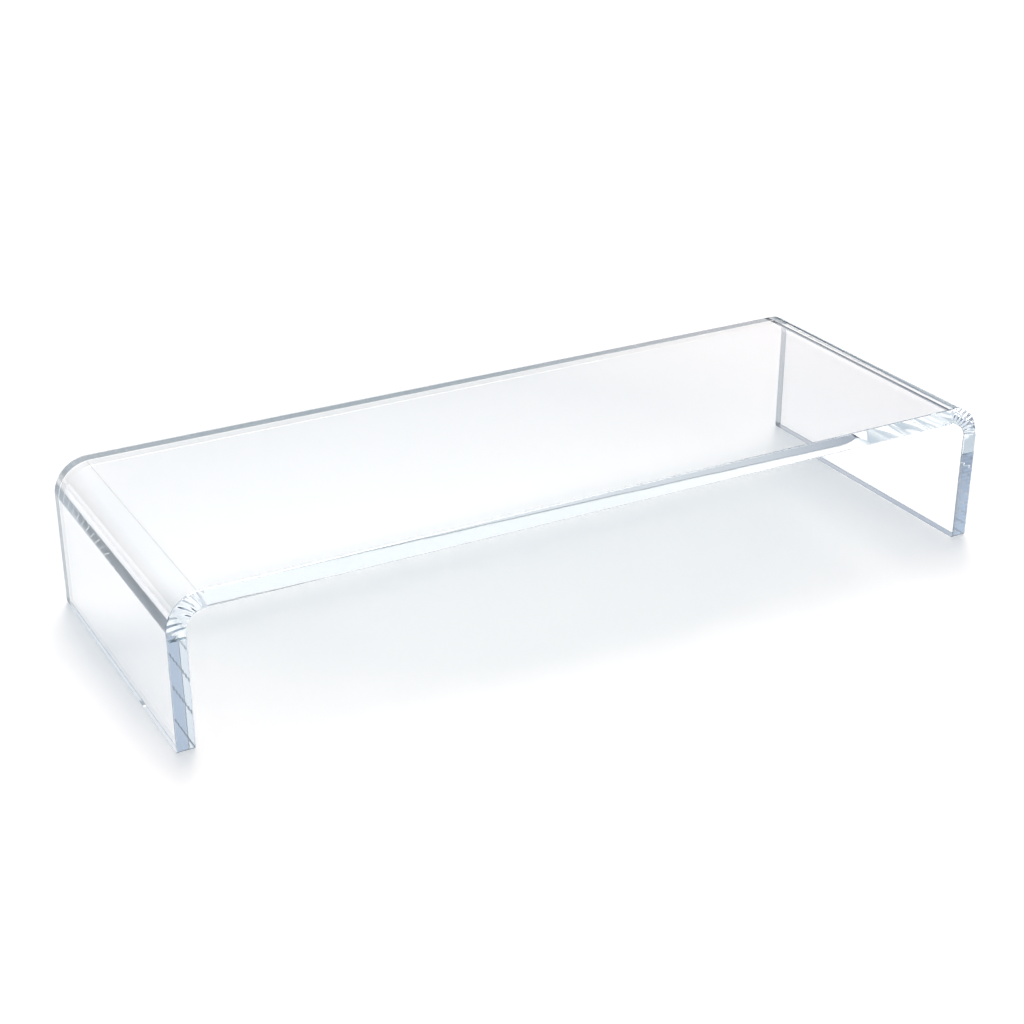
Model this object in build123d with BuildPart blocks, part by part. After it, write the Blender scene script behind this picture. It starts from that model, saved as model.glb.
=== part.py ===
"""Monitor riser stand: one clear acrylic sheet, line-bent twice into a low bridge.

Millimetres. +X runs along the long side of the deck, +Y from front to back and +Z up.
The origin is at the centre of the footprint, on the surface that the legs stand on.
"""

import os

from build123d import *

# Driving dimensions
length = 500.0  # overall, from one leg's outer face to the other's
depth = 180.0  # front to back, the width of the sheet
height = 86.0  # standing surface to the top of the deck
sheet_thickness = 10.0  # cast acrylic sheet
inner_bend_radius = 10.0  # inside each of the two heat-formed bends
foot_corner_radius = 1.5  # the blank's four corners, which end up at the feet
arris = 0.5  # what scraping and polishing takes off both long edges of a sawn face

# The line half way through the sheet's thickness, which both bends leave unstretched
half_thickness = sheet_thickness / 2
mid_bend_radius = inner_bend_radius + half_thickness
mid_leg_x = length / 2 - half_thickness
mid_deck_z = height - half_thickness

os.makedirs("parts", exist_ok=True)

# Riser sheet: the whole object. A flat blank is heated along two lines and folded down
# at each, so the deck, the bends and the legs are one unbroken thickness of acrylic.
with BuildPart() as riser_sheet:
    with BuildSketch(Plane.XZ) as bent_section:
        with BuildLine() as mid_line:
            FilletPolyline(
                (-mid_leg_x, 0),
                (-mid_leg_x, mid_deck_z),
                (mid_leg_x, mid_deck_z),
                (mid_leg_x, 0),
                radius=mid_bend_radius,
            )
        trace(mid_line.line, line_width=sheet_thickness)
    extrude(amount=depth / 2, both=True)

    # The corners of the blank run through its thickness, along X at the feet
    foot_corners = riser_sheet.edges().filter_by(Axis.X).group_by(Axis.Z)[0]
    fillet(foot_corners, radius=foot_corner_radius)

    # The sawn outline is eased all round on both skins: every edge except those that
    # cross the thickness at a rounded corner and those where a bend starts or ends
    across_thickness = (
        riser_sheet.edges().filter_by(Axis.X).filter_by_position(Axis.Z, 0, foot_corner_radius)
    )
    bend_lines = (
        riser_sheet.edges().filter_by(Axis.Y).filter_by_position(Axis.Z, foot_corner_radius, height)
    )
    chamfer(riser_sheet.edges() - across_thickness - bend_lines, length=arris)

riser_sheet.part.label = "riser_sheet"
export_step(riser_sheet.part, "parts/riser_sheet.step")
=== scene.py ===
"""Looks of the monitor riser stand: one bent sheet of clear acrylic on a white light table."""

import math

import bmesh
import bpy
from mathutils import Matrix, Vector


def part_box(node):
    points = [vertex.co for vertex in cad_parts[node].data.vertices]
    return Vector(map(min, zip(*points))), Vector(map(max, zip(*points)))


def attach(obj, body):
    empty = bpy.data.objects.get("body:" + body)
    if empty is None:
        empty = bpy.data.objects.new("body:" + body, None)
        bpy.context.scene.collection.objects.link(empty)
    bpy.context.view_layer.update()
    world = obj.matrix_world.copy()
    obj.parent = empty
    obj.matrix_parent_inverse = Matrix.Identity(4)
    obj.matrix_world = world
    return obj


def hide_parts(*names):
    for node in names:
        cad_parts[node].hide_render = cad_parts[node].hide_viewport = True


MM = 0.001

# The sheet, as part.py makes it. Overall sizes come from the riser_sheet part in model.glb.
SHEET_THICKNESS = 10 * MM
INNER_BEND_RADIUS = 10 * MM
FOOT_CORNER_RADIUS = 1.5 * MM
ARRIS = 0.5 * MM

# Mesh fineness
CORNER_STEPS = 6
ARRIS_STEPS = 4
EDGE_ROWS = 12
BEND_STEPS = 136

# What bending does to the sawn edge: the squeezed inside of a bend swells out of it, the
# stretched outside sinks in, and the soft acrylic keeps faint ripples across the bend.
# The back edge is scraped flat afterwards.
SWELL = 0.6 * MM
SWELL_CROWN = 0.18 * MM
SWELL_RUN_OUT = 5 * MM
RIPPLE = 0.11 * MM
RIPPLE_PITCH = 3.4 * MM
RIPPLE_LEAN = 4 * MM

# Acrylic and its surface finish
REFRACTIVE_INDEX = 1.49
TINT = (0.445, 0.73, 0.894)
TINT_DENSITY = 1.0
SKIN_ROUGHNESS = 0.012
HAZE_SCALE = 14
BACK_ROUGHNESS = 0.14
STREAK_SCALE = 400
STREAK_STRETCH = (1, 0.05, 1)
PLANER_PITCH = 2.6 * MM
PLANER_DEPTH = 0.008 * MM
ROLL_SCALE = 22
ROLL_DEPTH = 0.02 * MM
CREASE_WIDTH = 1.2 * MM
CREASE_DEPTH = 0.03 * MM

# Camera
VIEW_AZIMUTH = math.radians(-28.97)
VIEW_ELEVATION = math.radians(25.67)
VIEW_DISTANCE = 1.0821
VIEW_TARGET = Vector((-0.01288, 0, 0.03842))
LENS_MM = 66.46
SENSOR_MM = 36
CLIP_END = 100  # past the far rim of the table

# Light runs a long way inside the sheet before it leaves by an edge
LIGHT_BOUNCES = 64

# Light table: its soft mirror, and its glow by distance from its dimmest spot, as a share of
# TABLE_FAR. The glow carries painted shade: dim and grey-blue under the stand, where the sheet's
# back edge shows it, rising to near white further out.
TABLE_SIZE = 80.0
TABLE_GAP = 0.2 * MM
TABLE_FAR = 2.0
# centre of the painted shade on the table's glow
TABLE_PAINTED_SHADE_SPOT = (0, 0.10, 0)
TABLE_MIRROR = (0.65, 0.60, 0.565)
TABLE_ROUGHNESS = 0.52
TABLE_GLOW_WITH_PAINTED_SHADE = [
    (0.0, (0.31, 0.39, 0.43)),
    (0.10, (0.33, 0.40, 0.44)),
    (0.19, (0.57, 0.58, 0.60)),
    (0.4, (0.76, 0.77, 0.78)),
    (0.65, (0.96, 0.96, 0.96)),
]

# Studio walls: colour by azimuth, times a level by elevation (degrees)
WALL_BY_AZIMUTH = [
    (-180, (0.08, 0.11, 0.14)),
    (-120, (0.10, 0.13, 0.17)),
    (-75, (0.48, 0.57, 0.70)),
    (-40, (0.58, 0.67, 0.82)),
    (-14, (0.52, 0.59, 0.71)),
    (14, (0.84, 0.88, 0.93)),
    (37, (0.94, 0.95, 0.97)),
    (43, (0.46, 0.52, 0.61)),
    (80, (0.44, 0.50, 0.60)),
    (110, (0.2, 0.25, 0.3)),
    (140, (0.08, 0.11, 0.14)),
]
WALL_BY_ELEVATION = [
    (0, (0.08, 0.09, 0.11)),
    (12, (0.12, 0.14, 0.16)),
    (18, (0.42, 0.45, 0.49)),
    (22, (0.54, 0.56, 0.60)),
    (26, (1.0, 1.0, 1.0)),
    (32, (1.0, 1.0, 1.0)),
    (38, (0.42, 0.45, 0.50)),
    (90, (0.25, 0.26, 0.28)),
]

# Soft boxes: azimuth, elevation, inner and outer angle (degrees), strength
SOFT_BOX_COLOUR = (1.03, 1.0, 0.97)
SOFT_BOXES = [
    (32, 65, 13, 25, 5.15),
    (-165, 31, 4, 9, 0.8),
    (0, -90, 89.5, 92, 0.96),  # the far rim of the table, all round the horizon
]


class Graph:
    """Short names for the node calls that the materials and the world share."""

    def __init__(self, tree):
        self.tree = tree
        self.nodes = tree.nodes

    def add(self, kind, **settings):
        node = self.nodes.new(kind)
        for name, value in settings.items():
            setattr(node, name, value)
        return node

    def link(self, source, target):
        self.tree.links.new(source, target)

    def feed(self, value, socket):
        if isinstance(value, bpy.types.NodeSocket):
            self.link(value, socket)
        else:
            socket.default_value = value

    def math(self, operation, *values):
        node = self.add("ShaderNodeMath", operation=operation)
        for value, socket in zip(values, node.inputs):
            self.feed(value, socket)
        return node.outputs["Value"]

    def vector_math(self, operation, *values):
        node = self.add("ShaderNodeVectorMath", operation=operation)
        for value, socket in zip(values, node.inputs):
            self.feed(value, socket)
        return node.outputs["Value" if operation in ("LENGTH", "DOT_PRODUCT") else "Vector"]

    def rescale(self, value, low, high, low_out=0.0, high_out=1.0, smooth=False):
        node = self.add("ShaderNodeMapRange")
        node.interpolation_type = "SMOOTHSTEP" if smooth else "LINEAR"
        self.feed(value, node.inputs["Value"])
        node.inputs["From Min"].default_value = low
        node.inputs["From Max"].default_value = high
        node.inputs["To Min"].default_value = low_out
        node.inputs["To Max"].default_value = high_out
        return node.outputs["Result"]

    def split(self, vector):
        node = self.add("ShaderNodeSeparateXYZ")
        self.link(vector, node.inputs["Vector"])
        return node.outputs

    def noise(self, vector, scale, stretch=(1, 1, 1)):
        node = self.add("ShaderNodeTexNoise")
        self.link(self.vector_math("MULTIPLY", vector, stretch), node.inputs["Vector"])
        node.inputs["Scale"].default_value = scale
        node.inputs["Detail"].default_value = 2.0
        return node.outputs["Fac"]

    def ramp(self, value, stops):
        node = self.add("ShaderNodeValToRGB")
        band = node.color_ramp
        while len(band.elements) < len(stops):
            band.elements.new(0.5)
        for element, (position, colour) in zip(band.elements, stops):
            element.position = position
        for element, (position, colour) in zip(band.elements, stops):
            element.color = (*colour, 1)
        self.link(value, node.inputs["Fac"])
        return node.outputs["Color"]

    def scale(self, colour, factor):
        node = self.add("ShaderNodeVectorMath", operation="SCALE")
        self.feed(colour, node.inputs[0])
        self.feed(factor, node.inputs["Scale"])
        return node.outputs["Vector"]


class BentSheet:
    """Maps the flat blank (along, across, through) to the folded stand."""

    def __init__(self, low, high):
        self.half_depth = (high.y - low.y) / 2
        self.base = low.z
        self.radius = INNER_BEND_RADIUS + SHEET_THICKNESS / 2
        outer = INNER_BEND_RADIUS + SHEET_THICKNESS
        self.centre_y = (low.y + high.y) / 2
        self.centre_x = (low.x + high.x) / 2
        self.bend_x = (high.x - low.x) / 2 - outer
        self.bend_z = high.z - outer
        self.leg = self.bend_z - low.z
        self.arc = self.radius * math.pi / 2
        self.deck = 2 * self.bend_x
        self.length = 2 * self.leg + 2 * self.arc + self.deck

    def mid_line(self, along):
        """Point half way through the thickness and the direction from it to the outer skin."""
        side = -1
        if along > self.length / 2:
            side = 1
            along = self.length - along
        if along < self.leg:
            point = Vector((self.bend_x + self.radius, 0, self.base + along))
            outward = Vector((1, 0, 0))
        elif along < self.leg + self.arc:
            angle = (along - self.leg) / self.radius
            outward = Vector((math.cos(angle), 0, math.sin(angle)))
            point = Vector((self.bend_x, 0, self.bend_z)) + self.radius * outward
        else:
            past = along - self.leg - self.arc
            outward = Vector((0, 0, 1))
            point = Vector((self.bend_x - past, 0, self.bend_z + self.radius))
        point.x = self.centre_x + side * point.x
        outward.x *= side
        return point, outward

    def swell(self, along, through, outward_y):
        """How far the sawn edge stands out of its plane at a point of the bends."""
        if outward_y > 0:
            return 0.0
        past = min(along, self.length - along) - self.leg
        rise = smooth_step((past + SWELL_RUN_OUT / 2) / SWELL_RUN_OUT)
        fall = smooth_step((self.arc + SWELL_RUN_OUT / 2 - past) / SWELL_RUN_OUT)
        share = through / SHEET_THICKNESS
        ripple = RIPPLE * math.sin(2 * math.pi * (past + RIPPLE_LEAN * share) / RIPPLE_PITCH)
        return rise * fall * (ripple - 2 * share * SWELL - (2 * share) ** 2 * SWELL_CROWN)

    def stations(self):
        """Places along the blank where its long edges need a point."""
        start = self.leg - SWELL_RUN_OUT
        stop = self.leg + self.arc + SWELL_RUN_OUT
        bend = [start + (stop - start) * i / BEND_STEPS for i in range(BEND_STEPS + 1)]
        marks = [FOOT_CORNER_RADIUS] + bend + [self.length / 2]
        marks += [self.length - s for s in reversed(bend)] + [self.length - FOOT_CORNER_RADIUS]
        return marks

    def outline(self, inset):
        """Edge of the blank, front then back: (along, across, outward normal along, across)."""
        centre_s = self.length / 2 - FOOT_CORNER_RADIUS
        centre_y = self.half_depth - FOOT_CORNER_RADIUS
        radius = FOOT_CORNER_RADIUS - inset
        turn = []
        for i in range(CORNER_STEPS + 1):
            a = i / CORNER_STEPS * math.pi / 2
            cos, sin = math.cos(a), math.sin(a)
            turn.append((centre_s + radius * cos, -centre_y - radius * sin, cos, -sin))
        front = [(self.length / 2 - s, v, -ns, nv) for s, v, ns, nv in turn]
        front += [(s, -self.half_depth + inset, 0.0, -1.0) for s in self.stations()[1:-1]]
        front += [(self.length / 2 + s, v, ns, nv) for s, v, ns, nv in reversed(turn)]
        return front + [(s, -v, ns, -nv) for s, v, ns, nv in reversed(front)]

    def edge_point(self, along, across, outward_s, outward_y, through, tilt):
        """A point of the sawn edge or its arrises, and the surface normal there."""
        step = 0.01 * MM
        point, outward = self.mid_line(along)
        before, _ = self.mid_line(max(along - step, 0))
        after, _ = self.mid_line(min(along + step, self.length))
        tangent = (after - before).normalized()
        side = Vector((0, outward_y, 0))
        point += through * outward + side * self.swell(along, through, outward_y)
        point.y += self.centre_y + across
        normal = math.cos(tilt) * (outward_s * tangent + side) + math.sin(tilt) * outward
        in_bend = self.leg < min(along, self.length - along) < self.leg + self.arc
        stretch = 1 + through / self.radius if in_bend else 1
        swell_after = self.swell(along + step, through, outward_y)
        swell_before = self.swell(along - step, through, outward_y)
        swell_above = self.swell(along, through + step, outward_y)
        swell_below = self.swell(along, through - step, outward_y)
        by_along = (swell_after - swell_before) / (2 * step * stretch)
        by_through = (swell_above - swell_below) / (2 * step)
        normal -= normal.dot(side) * (by_along * tangent + by_through * outward)
        return point, normal.normalized()


def smooth_step(t):
    t = min(max(t, 0), 1)
    return t * t * (3 - 2 * t)


def edge_profile():
    """Profile of the sawn edge through the thickness: (through, inset, tilt of the normal)."""
    half = SHEET_THICKNESS / 2
    lower = []
    for i in range(ARRIS_STEPS + 1):
        a = math.pi / 2 * (1 - i / ARRIS_STEPS)
        lower.append((-half + ARRIS * (1 - math.sin(a)), ARRIS * (1 - math.cos(a)), -a))
    flat = half - ARRIS
    middle = [(-flat + 2 * flat * i / EDGE_ROWS, 0.0, 0.0) for i in range(1, EDGE_ROWS)]
    upper = [(-through, inset, -tilt) for through, inset, tilt in reversed(lower)]
    return lower + middle + upper


def make_sheet(shape):
    """Closed mesh of the stand: rings round the blank's edge joined by quads, and two skins."""
    verts, normals, rings, blank = [], [], [], []
    for through, inset, tilt in edge_profile():
        ring = []
        for along, across, outward_s, outward_y in shape.outline(inset):
            point, normal = shape.edge_point(along, across, outward_s, outward_y, through, tilt)
            ring.append(len(verts))
            verts.append(point)
            normals.append(normal)
            blank.append((along, through))
        rings.append(ring)
    faces = []
    count = len(rings[0])
    for a, b in zip(rings, rings[1:]):
        for i in range(count):
            j = (i + 1) % count
            faces.append((a[i], a[j], b[j], b[i]))
    half = count // 2
    for ring, flip in ((rings[0], False), (rings[-1], True)):
        for i in range(half - 1):
            quad = (ring[i], ring[count - 1 - i], ring[count - 2 - i], ring[i + 1])
            faces.append(quad[::-1] if flip else quad)
    mesh = bpy.data.meshes.new("clear_riser_sheet")
    mesh.from_pydata([tuple(v) for v in verts], [], faces)
    bm = bmesh.new()
    bm.from_mesh(mesh)
    bmesh.ops.recalc_face_normals(bm, faces=bm.faces)
    bm.to_mesh(mesh)
    bm.free()
    places = mesh.uv_layers.new(name="blank")  # metres along the blank and through the thickness
    for loop, place in zip(mesh.loops, places.uv):
        place.vector = blank[loop.vertex_index]
    mesh.polygons.foreach_set("use_smooth", [True] * len(mesh.polygons))
    mesh.normals_split_custom_set_from_vertices([tuple(n) for n in normals])
    return bpy.data.objects.new("clear_riser_sheet", mesh)


def acrylic(shape):
    """Clear cast sheet: polished, faintly wavy skins, a planed front edge and a satin back edge."""
    material = bpy.data.materials.new("clear_acrylic")
    material.use_nodes = True
    graph = Graph(material.node_tree)
    shader = graph.nodes["Principled BSDF"]
    shader.inputs["Base Color"].default_value = (1, 1, 1, 1)
    shader.inputs["IOR"].default_value = REFRACTIVE_INDEX
    shader.inputs["Transmission Weight"].default_value = 1.0
    coords = graph.add("ShaderNodeTexCoord")
    place = graph.split(coords.outputs["Object"])
    facing = graph.split(coords.outputs["Normal"])
    sawn = graph.rescale(graph.math("ABSOLUTE", facing[1]), 0.85, 0.98, smooth=True)
    back = shape.centre_y + shape.half_depth
    at_back = graph.rescale(place[1], back - 2 * ARRIS, back - ARRIS)

    # Scraping leaves the back edge satin, in streaks through the thickness
    blank = graph.add("ShaderNodeUVMap", uv_map="blank").outputs["UV"]
    streaks = graph.noise(blank, STREAK_SCALE, stretch=STREAK_STRETCH)
    satin = graph.rescale(streaks, 0.3, 0.7, low_out=0.6 * BACK_ROUGHNESS, high_out=BACK_ROUGHNESS)
    clouds = graph.noise(coords.outputs["Object"], HAZE_SCALE)
    haze = graph.rescale(clouds, 0.45, 0.8, high_out=SKIN_ROUGHNESS)
    rough = graph.add("ShaderNodeMix")
    graph.link(at_back, rough.inputs["Factor"])
    graph.link(haze, rough.inputs["A"])
    graph.link(satin, rough.inputs["B"])
    graph.link(rough.outputs["Result"], shader.inputs["Roughness"])

    # Planer marks cross the legs' sawn edges; the skins keep the faint roll of the casting
    leg_middle = shape.base + shape.leg / 2
    on_leg = graph.rescale(place[2], leg_middle, shape.bend_z, low_out=1.0, high_out=0.0)
    along = graph.split(blank)[0]
    marks = graph.math("SINE", graph.math("MULTIPLY", along, 2 * math.pi / PLANER_PITCH))
    marks = graph.math("MULTIPLY", marks, graph.math("MULTIPLY", sawn, on_leg))
    marks = graph.math("MULTIPLY", marks, PLANER_DEPTH)
    roll = graph.math("MULTIPLY", graph.noise(coords.outputs["Object"], ROLL_SCALE), ROLL_DEPTH)

    # The strip heater leaves a faint crease where the deck turns into each bend
    from_middle = graph.math("ABSOLUTE", graph.math("SUBTRACT", along, shape.length / 2))
    from_crease = graph.math("ABSOLUTE", graph.math("SUBTRACT", from_middle, shape.deck / 2))
    crease = graph.rescale(from_crease, 0, CREASE_WIDTH / 2, high_out=CREASE_DEPTH, smooth=True)
    height = graph.math("ADD", graph.math("ADD", marks, roll), crease)
    bump = graph.add("ShaderNodeBump")
    bump.inputs["Distance"].default_value = 1.0
    graph.link(height, bump.inputs["Height"])
    graph.link(bump.outputs["Normal"], shader.inputs["Normal"])

    volume = graph.add("ShaderNodeVolumeAbsorption")
    volume.inputs["Color"].default_value = (*TINT, 1)
    volume.inputs["Density"].default_value = TINT_DENSITY
    graph.link(volume.outputs["Volume"], graph.nodes["Material Output"].inputs["Volume"])
    return material


def make_floor(base):
    """Satin light table: it glows, least under the stand, and also mirrors the studio softly. The
    dim, grey-blue glow under the stand is painted shade.
    """
    mesh = bpy.data.meshes.new("light_table")
    half = TABLE_SIZE / 2
    corners = [(-half, -half, base), (half, -half, base), (half, half, base), (-half, half, base)]
    mesh.from_pydata(corners, [], [(0, 1, 2, 3)])
    table = bpy.data.objects.new("light_table", mesh)
    material = bpy.data.materials.new("light_table")
    material.use_nodes = True
    graph = Graph(material.node_tree)
    shader = graph.nodes["Principled BSDF"]
    shader.inputs["Metallic"].default_value = 1.0
    shader.inputs["Base Color"].default_value = (*TABLE_MIRROR, 1)
    shader.inputs["Roughness"].default_value = TABLE_ROUGHNESS
    position = graph.add("ShaderNodeNewGeometry").outputs["Position"]
    distance = graph.vector_math("LENGTH", graph.vector_math("SUBTRACT", position, TABLE_PAINTED_SHADE_SPOT))
    # painted shade: the glow is dimmest and grey-blue near the stand, rising to near white further
    # out
    glow = graph.ramp(graph.rescale(distance, 0, TABLE_FAR), TABLE_GLOW_WITH_PAINTED_SHADE)
    graph.link(glow, shader.inputs["Emission Color"])
    shader.inputs["Emission Strength"].default_value = 1.0
    mesh.materials.append(material)
    bpy.context.scene.collection.objects.link(table)


def by_elevation(stops):
    """Ramp stops given by elevation in degrees, for a ramp that reads the sine of it."""
    return [(math.sin(math.radians(elevation)), colour) for elevation, colour in stops]


def by_azimuth(stops):
    """Ramp stops given by azimuth in degrees, from +Y towards +X, for a ramp over -180 to 180."""
    return [((azimuth + 180) / 360, colour) for azimuth, colour in stops]


def make_world():
    """Soft studio: grey-blue walls, darker behind the camera, under broad soft boxes."""
    world = bpy.data.worlds.new("studio")
    bpy.context.scene.world = world
    world.use_nodes = True
    graph = Graph(world.node_tree)
    direction = graph.add("ShaderNodeTexCoord").outputs["Generated"]
    x, y, z = graph.split(direction)
    azimuth = graph.math("ARCTAN2", x, y)
    around = graph.rescale(azimuth, -math.pi, math.pi)
    wall_colour = graph.ramp(around, by_azimuth(WALL_BY_AZIMUTH))
    wall_level = graph.ramp(z, by_elevation(WALL_BY_ELEVATION))
    light = graph.vector_math("MULTIPLY", wall_colour, wall_level)
    for box in SOFT_BOXES:
        box_azimuth, box_elevation, inner, outer = map(math.radians, box[:4])
        strength = box[4]
        axis = (
            math.sin(box_azimuth) * math.cos(box_elevation),
            math.cos(box_azimuth) * math.cos(box_elevation),
            math.sin(box_elevation),
        )
        near = graph.vector_math("DOT_PRODUCT", direction, axis)
        fade = graph.rescale(near, math.cos(outer), math.cos(inner), smooth=True)
        glow = graph.scale(SOFT_BOX_COLOUR, graph.math("MULTIPLY", fade, strength))
        light = graph.vector_math("MAXIMUM", light, glow)
    graph.link(light, graph.nodes["Background"].inputs["Color"])


def make_camera():
    """Camera at the main view's angle and distance, level, with no shift."""
    data = bpy.data.cameras.new("camera")
    data.lens = LENS_MM
    data.sensor_width = SENSOR_MM
    data.clip_end = CLIP_END
    camera = bpy.data.objects.new("camera", data)
    back = Vector((
        math.sin(VIEW_AZIMUTH) * math.cos(VIEW_ELEVATION),
        -math.cos(VIEW_AZIMUTH) * math.cos(VIEW_ELEVATION),
        math.sin(VIEW_ELEVATION),
    ))
    camera.location = VIEW_TARGET + back * VIEW_DISTANCE
    camera.rotation_euler = back.to_track_quat("Z", "Y").to_euler()
    bpy.context.scene.collection.objects.link(camera)
    bpy.context.scene.camera = camera


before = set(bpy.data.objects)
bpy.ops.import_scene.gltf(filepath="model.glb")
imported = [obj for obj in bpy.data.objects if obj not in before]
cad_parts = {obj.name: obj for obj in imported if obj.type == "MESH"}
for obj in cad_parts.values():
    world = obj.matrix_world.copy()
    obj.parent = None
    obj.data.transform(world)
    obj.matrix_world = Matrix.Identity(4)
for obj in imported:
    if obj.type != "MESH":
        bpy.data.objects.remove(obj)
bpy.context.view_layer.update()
make_camera()
make_world()
low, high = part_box("riser_sheet")
shape = BentSheet(low, high)
sheet = make_sheet(shape)
bpy.context.scene.collection.objects.link(sheet)
sheet.data.materials.append(acrylic(shape))
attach(sheet, "root")
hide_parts("riser_sheet")
make_floor(low.z - TABLE_GAP)

scene = bpy.context.scene
scene.view_settings.view_transform = "Standard"
scene.cycles.max_bounces = LIGHT_BOUNCES
scene.cycles.transmission_bounces = LIGHT_BOUNCES
scene.cycles.glossy_bounces = LIGHT_BOUNCES
scene.cycles.transparent_max_bounces = LIGHT_BOUNCES
scene.cycles.use_denoising = True
